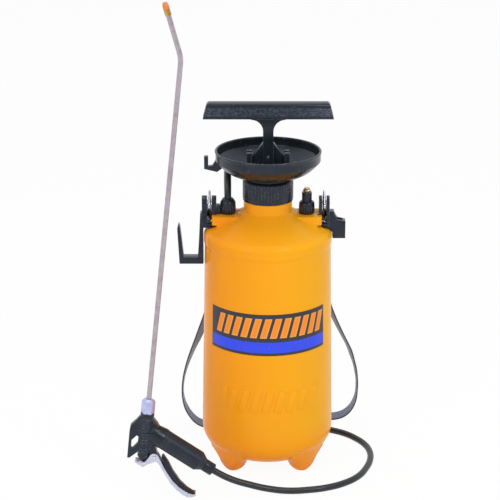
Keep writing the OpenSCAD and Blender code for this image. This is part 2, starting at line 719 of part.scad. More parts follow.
// Left bracket: a deep hook that takes the gun's barrel
module gun_holder() color("#222426") at_left() {
    wall_x = bead_r + 0.8;
    bracket_base(ring_x_left, lip_left, cheek_t_left, wall_x + 1.4);
    hook_x = wall_x + hook_reach;
    hook_z = ledge_z - hook_depth;
    plate([[wall_x, arm_z0 - 6], [wall_x, hook_z], [hook_x, hook_z], [hook_x + 2.4, ledge_z - 19.3],
        [hook_x + 0.6, ledge_z - 13.8], [hook_x - 1.2, ledge_z - 18.3], [hook_x - 5.4, hook_z + hook_t],
        [wall_x + 7.2, hook_z + hook_t], [wall_x + 5.6, hook_z + 30], [wall_x + 3.6, ledge_z + 1],
        [wall_x, ledge_z + 1]], holder_w);
    translate([outlet_x + cap_nut_r + free_fit, -7, ledge_z + slide_fit])
        cube([ring_x_left - slot_w / 2 - outlet_x - cap_nut_r - 1, 14, 10.5]);
}

// Right bracket: a deep socket that takes the lance's tip
module lance_socket() color("#222426") at_tank() {
    wall_x = ring_x_right + slot_w / 2;
    bracket_base(ring_x_right, lip_right, cheek_t_right, wall_x + cheek_t_right);
    difference() {
        plate(concat([[wall_x, arm_z0]],
            arc(corner_r, bead_z1, shoulder_fillet + 0.8, 60, 0, 4),
            [[bead_r + 0.8, ledge_z - 32], [99, ledge_z - 32],
            [99, ledge_z - 9.5], [89, ledge_z - 7], [84.6, ledge_z + 1], [84.2, ledge_z + 3.5],
            [wall_x, ledge_z + 3.5]]), socket_w);
        translate([socket_x, 0, 0]) disc(socket_r, ledge_z - 29, ledge_z + 1);
    }
}

module strap_pins() color("#303236") {
    at_left() strap_pin(ring_x_left, cheek_t_left, bead_r + 2.2);
    at_tank() strap_pin(ring_x_right, cheek_t_right, ring_x_right + slot_w / 2 + cheek_t_right);
}

module strap_pin(ring_x, inner_t, outer) translate([ring_x - slot_w / 2 - inner_t, 0, pin_axis_z])
    rotate([0, 90, 0]) cylinder(r = pin_r, h = outer - ring_x + slot_w / 2 + inner_t, $fn = 36);

// Strap rings: rounded oblongs of wire that hang back from the pins
function ring_point(u) = [0, u * cos(ring_tilt), pin_axis_z - u * sin(ring_tilt)];

// Turns the ring's own plane, u along x and v along y, into its hanging place
module at_ring() translate([0, 0, pin_axis_z]) rotate([-ring_tilt, 0, 0]) rotate([90, 0, 90]) children();

module strap_ring() at_ring() {
    v = ring_w / 2 - ring_wire_r - ring_corner_r;
    u0 = ring_corner_r - ring_front;
    u1 = ring_back - ring_corner_r;
    for (side = [0, 180]) rotate([side, 0, 0]) {
        translate([u0, v + ring_corner_r, 0]) rotate([0, 90, 0])
            cylinder(r = ring_wire_r, h = u1 - u0, $fn = 32);
        translate([u1, v, 0]) ring_corner(0);
        translate([u0, v, 0]) ring_corner(90);
    }
    for (u = [-ring_front, ring_back]) translate([u, -v, 0]) rotate([-90, 0, 0])
        cylinder(r = ring_wire_r, h = 2 * v, $fn = 32);
}

module ring_corner(turn) rotate([0, 0, turn]) rotate_extrude(angle = 90)
    translate([ring_corner_r, 0]) circle(r = ring_wire_r, $fn = 32);

module strap_rings() color("#c8ccd2") {
    at_left() translate([ring_x_left, 0, 0]) strap_ring();
    at_tank() translate([ring_x_right, 0, 0]) strap_ring();
}

// Strap: one band from ring to ring, given by its centre line and roughly the way that its width runs
function strap_side(side, ring_x, list) = concat(
    [for (u = [ring_back + loop_r + 0.4, ring_back + 9]) [[side * ring_x, 0, 0] + ring_point(u),
        [0, 1, 0]]],
    [for (p = list) [[side * p[0], p[1], p[2]], [-side * sin(p[3]), cos(p[3]), 0]]]);
STRAP = concat(strap_side(-1, ring_x_left, STRAP_LEFT),
    [for (p = STRAP_FLOOR) [[p[0], p[1], strap_t / 2 + floor_fit], [0, 1, 0]]],
    reverse(strap_side(1, ring_x_right, STRAP_RIGHT)));
function reverse(list) = [for (i = [len(list) - 1:-1:0]) list[i]];

function strap_along(i) = unit(STRAP[min(i + 1, len(STRAP) - 1)][0] - STRAP[max(i - 1, 0)][0]);
function strap_corners(i) = let (p = STRAP[i][0], along = strap_along(i), across = STRAP[i][1],
    w = unit(across - along * (across * along)) * strap_w / 2,
    n = unit(cross(along, w)) * strap_t / 2) [p + w + n, p - w + n, p - w - n, p + w - n];

module strap() color("#8e94a6") at_tank() {
    skin([for (i = [0:len(STRAP) - 1]) strap_corners(i)]);
    translate([-ring_x_left, 0, 0]) strap_loop();
    translate([ring_x_right, 0, 0]) strap_loop();
}

// The stitched end of the strap, round the ring's rear bar
module strap_loop() at_ring() translate([ring_back, 0, 0]) rotate([90, 0, 0]) difference() {
    cylinder(r = loop_r + loop_t, h = strap_w - 1, center = true, $fn = 32);
    cylinder(r = loop_r, h = strap_w, center = true, $fn = 32);
}

// Closed skin over a list of rings of points
module skin(rings) {
    n = len(rings[0]);
    m = len(rings);
    polyhedron(points = [for (r = rings) each r], faces = concat(
        [[for (k = [0:n - 1]) k]],
        [for (i = [0:m - 2], k = [0:n - 1]) let (a = i * n + k, b = i * n + (k + 1) % n)
            each [[a, b + n, b], [a, a + n, b + n]]],
        [[for (k = [n - 1:-1:0]) (m - 1) * n + k]]));
}

// Gun
module gun_body() color("#24272a") difference() {
    union() {
        at_gun() {
            disc(gun_r, -gun_len, 0);
            disc(gun_r + 0.8, -5, 0);
            disc(spigot_out_r, -1, spigot_len);
            for (w = [-gun_len + rib_pitch:rib_pitch:-8]) disc(rib_r, w, w + rib_pitch * 0.45);
            finger_guard();
            plate([[4, -38], [13, -41], [pivot_u + 4.4, pivot_w + 1], [pivot_u, pivot_w - 4.4],
                [pivot_u - 4.4, pivot_w], [gun_r - 2, -52]], trigger_w - 2 * trigger_t - 1);
            plate([[0, -10], [gun_r, -8], [14, -15], [20, -24], [14, -40], [4, -40]], 15);
        }
        at_grip() {
            translate([0, 0, -20]) cylinder(r1 = 11, r2 = grip_r + 0.6, h = 17);
            disc(grip_r + 0.6, -3, 0);
            disc(barb_r + 3, -1, 14);
        }
    }
    at_gun() {
        disc(bore_r, chamber_top - 1, spigot_len + 1);
        disc(chamber_r, chamber_bottom, chamber_top);
        disc(pull_r + slide_fit, -gun_len - 1, chamber_bottom + 1);
        disc(4, -gun_len - 1, -gun_len + 5);
        translate([pivot_u, 0, pivot_w]) rotate([90, 0, 0])
            cylinder(r = pivot_r, h = trigger_w, center = true, $fn = 36);
    }
    at_grip() {
        disc(bore_r, -24, 20);
        disc(barb_r + run_fit, 4, 20);
    }
}

module finger_guard() difference() {
    plate([[-4, -2], [-8.6, -4.6], [-13.2, -11.3], [-19.7, -18.8], [-20.4, -26], [-20.4, -63.4],
        [-17.6, -63.4], [-5, -51.5], [-2, -46]], guard_w);
    plate([[-16.8, -38.5], [-10.7, -31.5], [-8.7, -33.1], [-8.7, -42.3], [-15, -51], [-16.8, -49.7]],
        guard_w + 2);
}

module gland_nut() color("#1e2022") at_gun() difference() {
    union() {
        disc(gun_r + 0.2, -gun_len - 3, -gun_len);
        translate([0, 0, -gun_len - gland_len]) cylinder(r1 = 4, r2 = gun_r + 0.2, h = gland_len - 3);
    }
    disc(pull_r + slide_fit, -gun_len - gland_len - 1, -gun_len + 1);
}

module gland_packing() color("#d8d8d0") at_gun()
    ring(pull_r + slide_fit, 3.9, -gun_len + 0.1, -gun_len + 4.9);

module hand_grip() color("#2a2d30") at_grip() difference() {
    union() {
        disc(grip_r, 0.1, grip_len);
        translate([0, 0, grip_len]) cylinder(r1 = grip_r, r2 = ferrule_r + 0.3, h = taper_len);
    }
    disc(barb_r + 3 + slide_fit, 0, 14.1);
    disc(barb_r + slide_fit, 13, grip_len + taper_len - 9.9);
    disc(hose_r + free_fit, grip_len + taper_len - 10, grip_len + taper_len + 1);
}

module hose_barb() color("#c9a24a") at_grip() ring(2, barb_r, 4.1, grip_len + taper_len + ferrule_len
    - hose_grip_depth);

module hose_ferrule() color("#1f2123") at_grip() difference() {
    disc(ferrule_r, grip_len + taper_len + 0.1, grip_len + taper_len + ferrule_len);
    disc(hose_r + free_fit / 2, grip_len, grip_len + taper_len + ferrule_len + 1);
}

// Trigger: a folded channel that rocks on its pin and draws the pull rod down
TRIGGER_LOW = [[-10.3, -67.6], [-4.9, -70.7], [0.4, -71.1], [4.1, -70.2], [9.2, -67.6], [16.9, -63.9],
    [21.8, -69.3], [29, -80.6], [37.2, -92.4], [45.1, -100.4], [54.6, -107.2], [60.2, -109.6],
    [65.6, -109.6], [70.7, -106.8]];
TRIGGER_HIGH = [[70.9, -104.6], [66, -105.2], [60, -103.9], [48.6, -96.9], [38.8, -87.8], [29.6, -75.2],
    [23.4, -64.8], [18.6, -56.4], [16.4, -54], [13.3, -53.2], [10.4, -54], [8.2, -56], [6.2, -60.2],
    [2.4, -66.4], [-3.4, -67.4], [-10.1, -66.2]];
function offset_up(list, t) = [for (i = [0:len(list) - 1]) let (
    d = unit(list[min(i + 1, len(list) - 1)] - list[max(i - 1, 0)])) list[i] + [-d[1], d[0]] * t];

module trigger() color("#c3c6d6") at_gun() difference() {
    union() {
        for (side = [-1, 1]) translate([0, side * (trigger_w - trigger_t) / 2, 0])
            plate(concat(TRIGGER_LOW, TRIGGER_HIGH), trigger_t);
        plate(concat(TRIGGER_LOW, reverse(offset_up(TRIGGER_LOW, trigger_t))), trigger_w - 1);
    }
    translate([pivot_u, 0, pivot_w]) rotate([90, 0, 0])
        cylinder(r = pivot_r + run_fit, h = trigger_w + 2, center = true, $fn = 36);
    for (u = [-4.4:1.1:0]) translate([u, 0, 0]) disc(pull_r + 0.5, -80, -60);
}

module trigger_pad() color("#222527") at_gun() plate(concat(
    [for (i = [7:13]) offset_up(TRIGGER_LOW, trigger_t + 0.1)[i]],
    [[67.4, -104.2], [59.2, -99.6], [49.4, -91], [39.4, -78], [32, -65.2], [25, -56.4], [22.5, -58]]),
    trigger_w - 2 * trigger_t - 0.2);

module trigger_pin() color("#a8acb4") at_gun() translate([pivot_u, 0, pivot_w]) rotate([90, 0, 0])
    cylinder(r = pivot_r, h = trigger_w + 1.6, center = true, $fn = 36);

module pull_rod() color("#b8bbc0") at_gun() disc(pull_r, pull_bottom, chamber_top - 4);

module pull_nut() color("#c3c6d6") at_gun() difference() {
    translate([0, 0, pull_nut_z]) cylinder(r = 3.5, h = pull_nut_h, $fn = 6);
    disc(pull_r, pull_nut_z - 1, pull_nut_z + pull_nut_h + 1);
}

module gun_valve() color("#1c1c1c") at_gun() difference() {
    disc(chamber_r - 0.8, chamber_top - 4.6, chamber_top - slide_fit);
    disc(pull_r, chamber_top - 6, chamber_top - 4);
}

module gun_spring() color("#b8bbc0") at_gun()
    ring(pull_r + 0.5, chamber_r - 0.9, chamber_bottom, chamber_top - 4.6);

// Lance
module union_nut() color("#c9cbe0") at_gun() difference() {
    intersection() {
        translate([0, 0, 0.2]) cylinder(r = union_flats / 2 / cos(30), h = union_h, $fn = 6);
        union() {
            disc(union_flats / 2 + 0.9, 0, union_h - 3);
            translate([0, 0, union_h - 3]) cylinder(r1 = union_flats / 2 + 0.9, r2 = 4.6, h = 3.4);
        }
    }
    disc(spigot_out_r + slide_fit, 0, spigot_len + 3);
    disc(lance_r + slide_fit, spigot_len, union_h + 1);
}

module lance_seal() color("#1c1c1c") at_gun() ring(lance_r + slide_fit, spigot_out_r - 0.4,
    spigot_len + lance_flange_t + slide_fit, spigot_len + 2.9);

module at_tip() at_gun() translate([0, 0, bend_w]) rotate([0, -bend_angle, 0]) children();

// The lance's run at one radius: straight, bend and tip, with its ends pushed out by extra.
// The bend is a shade thicker, and the straight legs reach a little way into it.
module lance_run(r, extra) {
    at_gun() disc(r, spigot_len + slide_fit - extra, bend_w - bend_leg + bend_lap);
    at_gun() translate([-bend_r, 0, bend_w - bend_leg]) rotate([90, 0, 0])
        rotate_extrude(angle = bend_angle) translate([bend_r, 0]) circle(r = r + bend_swell);
    at_tip() disc(r, bend_leg - bend_lap, tip_len + 4 + extra);
}

module lance_tube() color("#b9b4ae") difference() {
    union() {
        lance_run(lance_r, 0);
        at_gun() disc(spigot_out_r - 0.4, spigot_len + slide_fit, spigot_len + lance_flange_t);
    }
    lance_run(lance_bore_r, 1);
}

module nozzle_body() color("#d98a3a") at_tip() difference() {
    union() {
        disc(3.9, tip_len, tip_len + 7);
        disc(2.6, tip_len + 6, tip_len + nozzle_len - 4);
    }
    disc(lance_r + run_fit, tip_len - 1, tip_len + 4.1);
    disc(1.2, tip_len + 3, tip_len + nozzle_len);
}

module nozzle_core() color("#b88a3a") at_tip() disc(1.1, tip_len + 5, tip_len + nozzle_len - 3.5);

module nozzle_cap() color("#e0662a") at_tip() difference() {
    union() {
        disc(3.8, tip_len + 7.2, tip_len + nozzle_len - 4);
        translate([0, 0, tip_len + nozzle_len - 4]) cylinder(r1 = 3.8, r2 = 2.6, h = 4);
    }
    disc(2.6 + run_fit, tip_len + 7, tip_len + nozzle_len - 3);
    disc(0.6, tip_len + 8, tip_len + nozzle_len + 1);
}

// Hose: one tube along its route
HOSE = concat([[-outlet_x, 0, fitting_top], [-outlet_x, 0, ledge_z + hose_nut_h]], HOSE_ROUTE,
    [on_grip(grip_len + taper_len + ferrule_len + 1),
    on_grip(grip_len + taper_len + ferrule_len - hose_grip_depth)]);
HOSE_SIDES = 10;
function hose_along(i) = unit(HOSE[min(i + 1, len(HOSE) - 1)] - HOSE[max(i - 1, 0)]);
// Carries the ring's first direction from one point to the next without twist
function hose_side(i) = i == 0 ? [1, 0, 0] :
    let (t = hose_along(i), s = hose_side(i - 1)) unit(s - t * (s * t));
function hose_ring(i) = let (t = hose_along(i), a = hose_side(i), b = cross(t, a))
    [for (k = [0:HOSE_SIDES - 1]) HOSE[i] + hose_r * (a * cos(360 * k / HOSE_SIDES)
        + b * sin(360 * k / HOSE_SIDES))];

module hose() color("#26282c") at_tank() skin([for (i = [0:len(HOSE) - 1]) hose_ring(i)]);

tank();
label();
neck_gasket();
funnel();
funnel_collar();
pump_gasket();
pump_head();
rod_bush();
pump_barrel();
foot_valve();
pump_handle();
pump_rod();
handle_pin();
piston();
piston_seal();
piston_nut();
outlet_gasket();
outlet_fitting();
hose_nut();
dip_tube();
dip_strainer();
valve_gasket();
valve_body();
valve_nut();
valve_stem();
valve_seal();
valve_spring();
valve_knob();
valve_ring();
gun_holder();
lance_socket();
strap_pins();
strap_rings();
strap();
gun_body();
gland_nut();
gland_packing();
hand_grip();
hose_barb();
hose_ferrule();
trigger();
trigger_pad();
trigger_pin();
pull_rod();
pull_nut();
gun_valve();
gun_spring();
union_nut();
lance_seal();
lance_tube();
nozzle_body();
nozzle_core();
nozzle_cap();
hose();
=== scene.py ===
# %% [markdown]
# # A shoulder-carried pump sprayer, dressed in Blender
# The frame below is the sprayer's construction: a blow-moulded orange tank on four round feet, a filling
# funnel with the pump screwed into it, two black brackets that hold the carrying strap, and a trigger gun
# on a hose. This script keeps every part where the construction puts it, and gives it rounded edges,
# small moulded details and its real materials.

# %% Load the construction
import json
import math

import bpy
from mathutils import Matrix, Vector


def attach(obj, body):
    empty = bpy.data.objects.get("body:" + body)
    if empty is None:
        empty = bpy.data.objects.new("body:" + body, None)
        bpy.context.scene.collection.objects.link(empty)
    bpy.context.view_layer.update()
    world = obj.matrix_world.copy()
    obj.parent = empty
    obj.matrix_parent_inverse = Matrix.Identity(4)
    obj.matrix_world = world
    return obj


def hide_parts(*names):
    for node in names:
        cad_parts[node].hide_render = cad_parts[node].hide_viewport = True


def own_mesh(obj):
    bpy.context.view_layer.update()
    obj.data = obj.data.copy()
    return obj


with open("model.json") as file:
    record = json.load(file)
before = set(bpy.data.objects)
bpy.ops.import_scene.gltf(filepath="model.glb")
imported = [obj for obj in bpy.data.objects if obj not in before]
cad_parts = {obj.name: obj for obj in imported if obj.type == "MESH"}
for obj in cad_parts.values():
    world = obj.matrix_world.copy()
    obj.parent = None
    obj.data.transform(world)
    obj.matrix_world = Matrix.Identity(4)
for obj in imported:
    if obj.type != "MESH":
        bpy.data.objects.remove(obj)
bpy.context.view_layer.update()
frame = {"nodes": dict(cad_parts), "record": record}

NODES = frame["nodes"]
SLOT_OF = {part["node"]: part["material_slot"] for part in frame["record"]["subparts"]}

# %% [markdown]
# ## Where things are
# The construction is drawn in millimetres about the tank's own axis, and that axis stands a little to the
# right of the origin, so that the whole sprayer is centred. One small function turns such a point into
# Blender's metres.

# %% Places
TANK_X, TANK_Y = 0.0265, 0.0047


def spot(x, y, z):
    """A point given in millimetres about the tank's axis, in metres in the shared frame."""
    return Vector((x / 1000 + TANK_X, y / 1000 + TANK_Y, z / 1000))


print("tank axis at", spot(0, 0, 0)[:2])

# %% [markdown]
# ## Camera
# A small product is shot from a little above with a long lens, so that its upright sides stay nearly
# parallel. The camera stands almost two metres away and looks down by 19 degrees.

# %% Camera
LENS_MM, SENSOR_MM = 115.34, 36
LEFT_OF_TANK, BEFORE_ORIGIN, EYE_HEIGHT = 0.0229, 1.9453, 0.965
LOOKS_DOWN = 19.1

camera_data = bpy.data.cameras.new("camera")
camera_data.lens = LENS_MM
camera_data.sensor_width = SENSOR_MM
camera = bpy.data.objects.new("camera", camera_data)
bpy.context.scene.collection.objects.link(camera)
camera.location = (TANK_X - LEFT_OF_TANK, -BEFORE_ORIGIN, EYE_HEIGHT)
camera.rotation_euler = (math.radians(90 - LOOKS_DOWN), 0, 0)
bpy.context.scene.camera = camera
print("camera", tuple(round(c, 3) for c in camera.location))

# %% [markdown]
# ## Building blocks for materials
# A material is a chain of nodes. Writing each link by hand is long, so small helpers add a node, do one
# sum, blend two colours, spread a value over a range, and make noise or relief. The world is built from the
# same nodes, so they work on it too. Colours are written as they look on screen and turned into the linear
# values that the shader wants.

# %% Material helpers
def colour(code):
    """A hexadecimal screen colour as linear RGBA."""
    parts = [int(code[i:i + 2], 16) / 255 for i in (1, 3, 5)]
    return tuple(c / 12.92 if c <= 0.04045 else ((c + 0.055) / 1.055) ** 2.4 for c in parts) + (1,)


def new_material(name):
    """An empty material with a shader, ready to be fed."""
    material = bpy.data.materials.new(name)
    material.use_nodes = True
    return material


def put(material, kind, inputs=None, **settings):
    """Adds a node, with its settings, and sets or links its inputs."""
    node = material.node_tree.nodes.new("ShaderNode" + kind)
    for key, value in settings.items():
        setattr(node, key, value)
    for key, value in (inputs or {}).items():
        if isinstance(value, bpy.types.NodeSocket):
            material.node_tree.links.new(value, node.inputs[key])
        else:
            node.inputs[key].default_value = value
    return node


def calc(material, operation, a, b=0.0, c=0.0):
    """One sum, on numbers or on what other nodes give."""
    return put(material, "Math", {0: a, 1: b, 2: c}, operation=operation).outputs[0]


def blend_colours(material, share, first, second):
    """The first colour where share is 0, the second where it is 1."""
    return put(material, "Mix", {0: share, 6: first, 7: second}, data_type="RGBA").outputs[2]


def spread(material, value, low, high, to_low=0.0, to_high=1.0):
    """Maps low..high onto to_low..to_high, and holds it inside them."""
    return put(material, "MapRange", {0: value, 1: low, 2: high, 3: to_low, 4: to_high}).outputs[0]


def object_point(material):
    """The place on the object, in metres."""
    return put(material, "TexCoord").outputs["Object"]


def grain(material, point, size, detail=2.0, stretch=None):
    """Soft noise whose spots are about size metres across."""
    if stretch:
        point = put(material, "Mapping", {"Vector": point, "Scale": stretch}).outputs[0]
    return put(material, "TexNoise", {"Vector": point, "Scale": 1 / size, "Detail": detail}).outputs[0]


def relief(material, height, depth, under=None):
    """Turns a height from 0 to 1 into a bump of depth metres."""
    node = put(material, "Bump", {"Height": height, "Distance": depth, "Strength": 1.0})
    if under:
        material.node_tree.links.new(under, node.inputs["Normal"])
    return node.outputs[0]


def finish_shader(material, base, roughness, normal=None, **others):
    """Feeds the shader: what varies is linked, and what is the same all over is set on its socket."""
    shader = material.node_tree.nodes["Principled BSDF"]
    values = {"Base Color": base, "Roughness": roughness, "Normal": normal}
    for name, value in others.items():
        values[name.replace("_", " ").title().replace("Ior", "IOR")] = value
    for name, value in values.items():
        if isinstance(value, bpy.types.NodeSocket):
            material.node_tree.links.new(value, shader.inputs[name])
        elif value is not None:
            shader.inputs[name].default_value = value
    return material


print("black as a linear colour:", tuple(round(c, 4) for c in colour("#20262a")))

# %% [markdown]
# ## Worn, rounded edges with painted highlights
# No moulded part has knife edges. The Bevel node looks a little way round each edge and gives back a
# rounded normal. Where that normal differs from the face's own, the surface is an edge, and edges are
# painted paler: partly as rubbed wear, partly as a painted highlight. One function gives both.

# %% Edges
FLAT_FROM, SHARP_BY = 0.995, 0.80  # how far the two normals agree on a flat face, and on a sharp edge


def edges(material, radius):
    """A rounded normal, and how much of an edge each point is, from 0 to 1."""
    rounded = put(material, "Bevel", {"Radius": radius}, samples=4).outputs[0]
    flat = put(material, "NewGeometry").outputs["Normal"]
    same = put(material, "VectorMath", {0: rounded, 1: flat}, operation="DOT_PRODUCT").outputs["Value"]
    return rounded, spread(material, same, FLAT_FROM, SHARP_BY)


# %% [markdown]
# ## Orange tank plastic
# The tank is blown from dyed polyethylene. It is waxy, with a fine orange-peel skin, slow waves where the
# wall is thicker or thinner, and a parting line down both sides where the two mould halves meet. Low down
# it is scuffed by the ground. Its orange is painted deeper on the left and yellower on the right, as painted
# light falling from the right, and a redder, stronger orange is painted on the feet, as painted light low
# down. Distances round the tank are taken from its axis, and the label uses them too.
# The label's bars need a mask of their own, with soft rims, because a hard one would show steps.

# %% Distances and slanted bars round the tank
TANK_RADIUS = 0.0835
BAR_SLANT = 0.28


def round_the_tank(material):
    """In metres: round the front of the tank from its middle, the height, to the right and to the front."""
    x, y, z = put(material, "SeparateXYZ", {0: object_point(material)}).outputs
    right = calc(material, "SUBTRACT", x, TANK_X)
    front = calc(material, "SUBTRACT", TANK_Y, y)
    angle = calc(material, "ARCTAN2", right, front)
    return calc(material, "MULTIPLY", angle, TANK_RADIUS), z, right, front


def slanted_bars(material, along, height, low, high, reach, width, pitch=0.0128, soft=0.0003):
    """Bars that lean to the right between two heights, as a mask with soft rims."""
    leaning = calc(material, "MULTIPLY_ADD", calc(material, "SUBTRACT", height, low), -BAR_SLANT, along)
    step = calc(material, "FRACT", calc(material, "DIVIDE", leaning, pitch))
    from_middle = calc(material, "ABSOLUTE", calc(material, "SUBTRACT", step, 0.5))
    bar = spread(material, calc(material, "MULTIPLY", from_middle, pitch), width / 2 + soft, width / 2 - soft)
    for value, edge, side in ((height, low, 1), (height, high, -1)):
        bar = calc(material, "MULTIPLY", bar, spread(material, value, edge - side * soft, edge + side * soft))
    ends = spread(material, calc(material, "ABSOLUTE", leaning), reach + soft, reach - soft)
    return calc(material, "MULTIPLY", bar, ends)


# %% Orange tank plastic
SEAM_HALF_WIDTH, SEAM_TOP = 0.0009, 0.315


def make_orange_plastic(name, foot_round, wall_round):
    """The roundings are in metres: how far the soft creases reach at the feet, and above them."""
    m = new_material(name)
    point = object_point(m)
    _, height, right, front = round_the_tank(m)
    cloud = grain(m, point, 0.055, 2)
    # Painted light: deeper orange on the left and yellower on the right, as if lit from the right; a soft
    # cloud of real tone variation rides on it
    right_side_light_and_wall_tone = calc(m, "ADD", spread(m, right, -0.07, 0.07), calc(m, "MULTIPLY", cloud, 0.3))
    skin = blend_colours(m, spread(m, right_side_light_and_wall_tone, 0.1, 1.2), colour("#f3971b"), colour("#f4ae1c"))
    # Painted light: a redder, stronger orange painted low on the feet stands in for how the light falls on
    # them
    foot = spread(m, height, 0.075, 0.005)
    skin = blend_colours(m, calc(m, "MULTIPLY", foot, 0.75), skin, colour("#ff8f1a"))
    scuffs = grain(m, point, 0.004, 4, (1, 1, 0.15))
    scuffed = calc(m, "MULTIPLY", spread(m, scuffs, 0.62, 0.70), spread(m, height, 0.030, 0.002))
    skin = blend_colours(m, calc(m, "MULTIPLY", scuffed, 0.45), skin, colour("#f8c887"))
    peel = grain(m, point, 0.0011, 2)
    waves = grain(m, point, 0.03, 1)
    seam = spread(m, calc(m, "ABSOLUTE", front), SEAM_HALF_WIDTH, 0.0002)
    seam = calc(m, "MULTIPLY", seam, spread(m, height, SEAM_TOP, 0.300))
    reach = spread(m, height, 0.055, 0.085, foot_round, wall_round)
    soft = put(m, "Bevel", {"Radius": reach}, samples=12).outputs[0]
    normal = relief(m, waves, 0.0003, soft)
    normal = relief(m, peel, 0.00003, normal)
    normal = relief(m, seam, 0.00025, normal)
    rough = calc(m, "ADD", spread(m, peel, 0.3, 0.7, 0.20, 0.27), calc(m, "MULTIPLY", scuffed, 0.3))
    return finish_shader(m, skin, rough, normal, specular_ior_level=0.10)


orange_plastic = make_orange_plastic("orange_tank_plastic", 0.008, 0.0018)
raised_plastic = make_orange_plastic("orange_raised_plastic", 0.0003, 0.0003)
print("made", orange_plastic.name, raised_plastic.name)

# %% [markdown]
# ## Black moulded plastic
# The funnel, caps, brackets and gun are moulded in black. Close up it is a dark blue-grey with a fine
# spark-eroded grain and paler edges, partly polished by wear and partly a painted highlight. The grip has
# the same colour with a coarser grain, so one function makes both.

# %% Black plastics
EDGE_REACH, RUBBED_AND_HIGHLIGHT_SHARE, DUST_SHARE = 0.0013, 0.52, 0.06


def make_black_plastic(name, base, paler, grain_size, grain_depth, rough_low, rough_high):
    m = new_material(name)
    point = object_point(m)
    rounded, rim = edges(m, EDGE_REACH)
    cloud = grain(m, point, 0.02, 3)
    skin = blend_colours(m, spread(m, cloud, 0.35, 0.7), colour(base), colour(paler))
    # Pale lavender edges: partly rubbed wear, partly a painted highlight along them
    rubbed_and_highlit_edge = calc(m, "MULTIPLY", rim, spread(m, grain(m, point, 0.003, 3), 0.35, 0.65))
    skin = blend_colours(m, calc(m, "MULTIPLY", rubbed_and_highlit_edge, RUBBED_AND_HIGHLIGHT_SHARE), skin, colour("#a4abc8"))
    fine = grain(m, point, grain_size, 2)
    dust = spread(m, grain(m, point, 0.006, 4), 0.60, 0.75)
    skin = blend_colours(m, calc(m, "MULTIPLY", dust, DUST_SHARE), skin, colour("#8a8f98"))
    normal = relief(m, fine, grain_depth, rounded)
    rough = spread(m, fine, 0.3, 0.7, rough_low, rough_high)
    rough = calc(m, "ADD", rough, calc(m, "MULTIPLY", dust, 0.12))
    return finish_shader(m, skin, rough, normal, ior=1.5, specular_tint=colour("#d3d6f5"))


black_plastic = make_black_plastic("black_plastic", "#181e21", "#20272b", 0.0005, 0.00002, 0.22, 0.32)
grip_plastic = make_black_plastic("black_grip_plastic", "#1b2024", "#252a30", 0.0008, 0.00005, 0.34, 0.46)
print("made", black_plastic.name, grip_plastic.name)

# %% [markdown]
# ## Rubber, pale plastic and the hose
# Gaskets and seals are dull black rubber. The bush, the piston and the tubes inside the tank are milky
# polyethylene, and the nozzle's cap is orange. The hose is PVC, smoother than the rubber. They differ only in
# colour, grain and gloss, so one function makes them all.

# %% Rubber, pale plastic, nozzle and hose
SMALL_EDGE = 0.0004


def make_plain(name, base, paler, size, rough_low, rough_high, depth=0.00003, **others):
    m = new_material(name)
    point = object_point(m)
    rounded, rim = edges(m, SMALL_EDGE)
    cloud = grain(m, point, size * 12, 3)
    fine = grain(m, point, size, 2)
    skin = blend_colours(m, spread(m, cloud, 0.3, 0.7), colour(base), colour(paler))
    # Edges a little paler: partly wear, partly a painted highlight
    skin = blend_colours(m, calc(m, "MULTIPLY", rim, 0.2), skin, colour(paler))
    rough = spread(m, fine, 0.3, 0.7, rough_low, rough_high)
    return finish_shader(m, skin, rough, relief(m, fine, depth, rounded), **others)


rubber = make_plain("black_rubber", "#17191b", "#24272a", 0.0006, 0.55, 0.75)
pale_plastic = make_plain("pale_plastic", "#d6d5cb", "#e6e5dc", 0.0009, 0.35, 0.5, subsurface_weight=0.1)
milky_tube = make_plain("milky_tube", "#dedccf", "#eceadf", 0.0009, 0.25, 0.35, subsurface_weight=0.2)
nozzle_plastic = make_plain("orange_nozzle", "#d9743a", "#e28a48", 0.0005, 0.3, 0.42)
hose_pvc = make_plain("hose_pvc", "#191e22", "#22282e", 0.0007, 0.28, 0.40, 0.00004)
print("made", rubber.name, pale_plastic.name, milky_tube.name, nozzle_plastic.name, hose_pvc.name)

# %% [markdown]
# ## Metals
# Polished wire and rods, turned brass, a plated nut, pressed trigger sheet and the drawn lance tube differ
# in colour, roughness and the direction of their fine scratches. One recipe makes them all: a metal with
# scratches stretched along one axis and a slightly uneven tint.

# %% Metals
def make_metal(name, base, stain, stretch, rough_low, rough_high, metallic=1.0):
    m = new_material(name)
    point = object_point(m)
    rounded, rim = edges(m, SMALL_EDGE)
    cloud = grain(m, point, 0.012, 4)
    lines = grain(m, point, 0.0012, 3, stretch)
    skin = blend_colours(m, spread(m, cloud, 0.45, 0.75), colour(base), colour(stain))
    # Edges painted near white: partly rubbed bright metal, partly a painted highlight
    skin = blend_colours(m, calc(m, "MULTIPLY", rim, 0.25), skin, colour("#f4f4f6"))
    rough = spread(m, lines, 0.3, 0.7, rough_low, rough_high)
    return finish_shader(m, skin, rough, relief(m, lines, 0.000012, rounded), metallic=metallic)


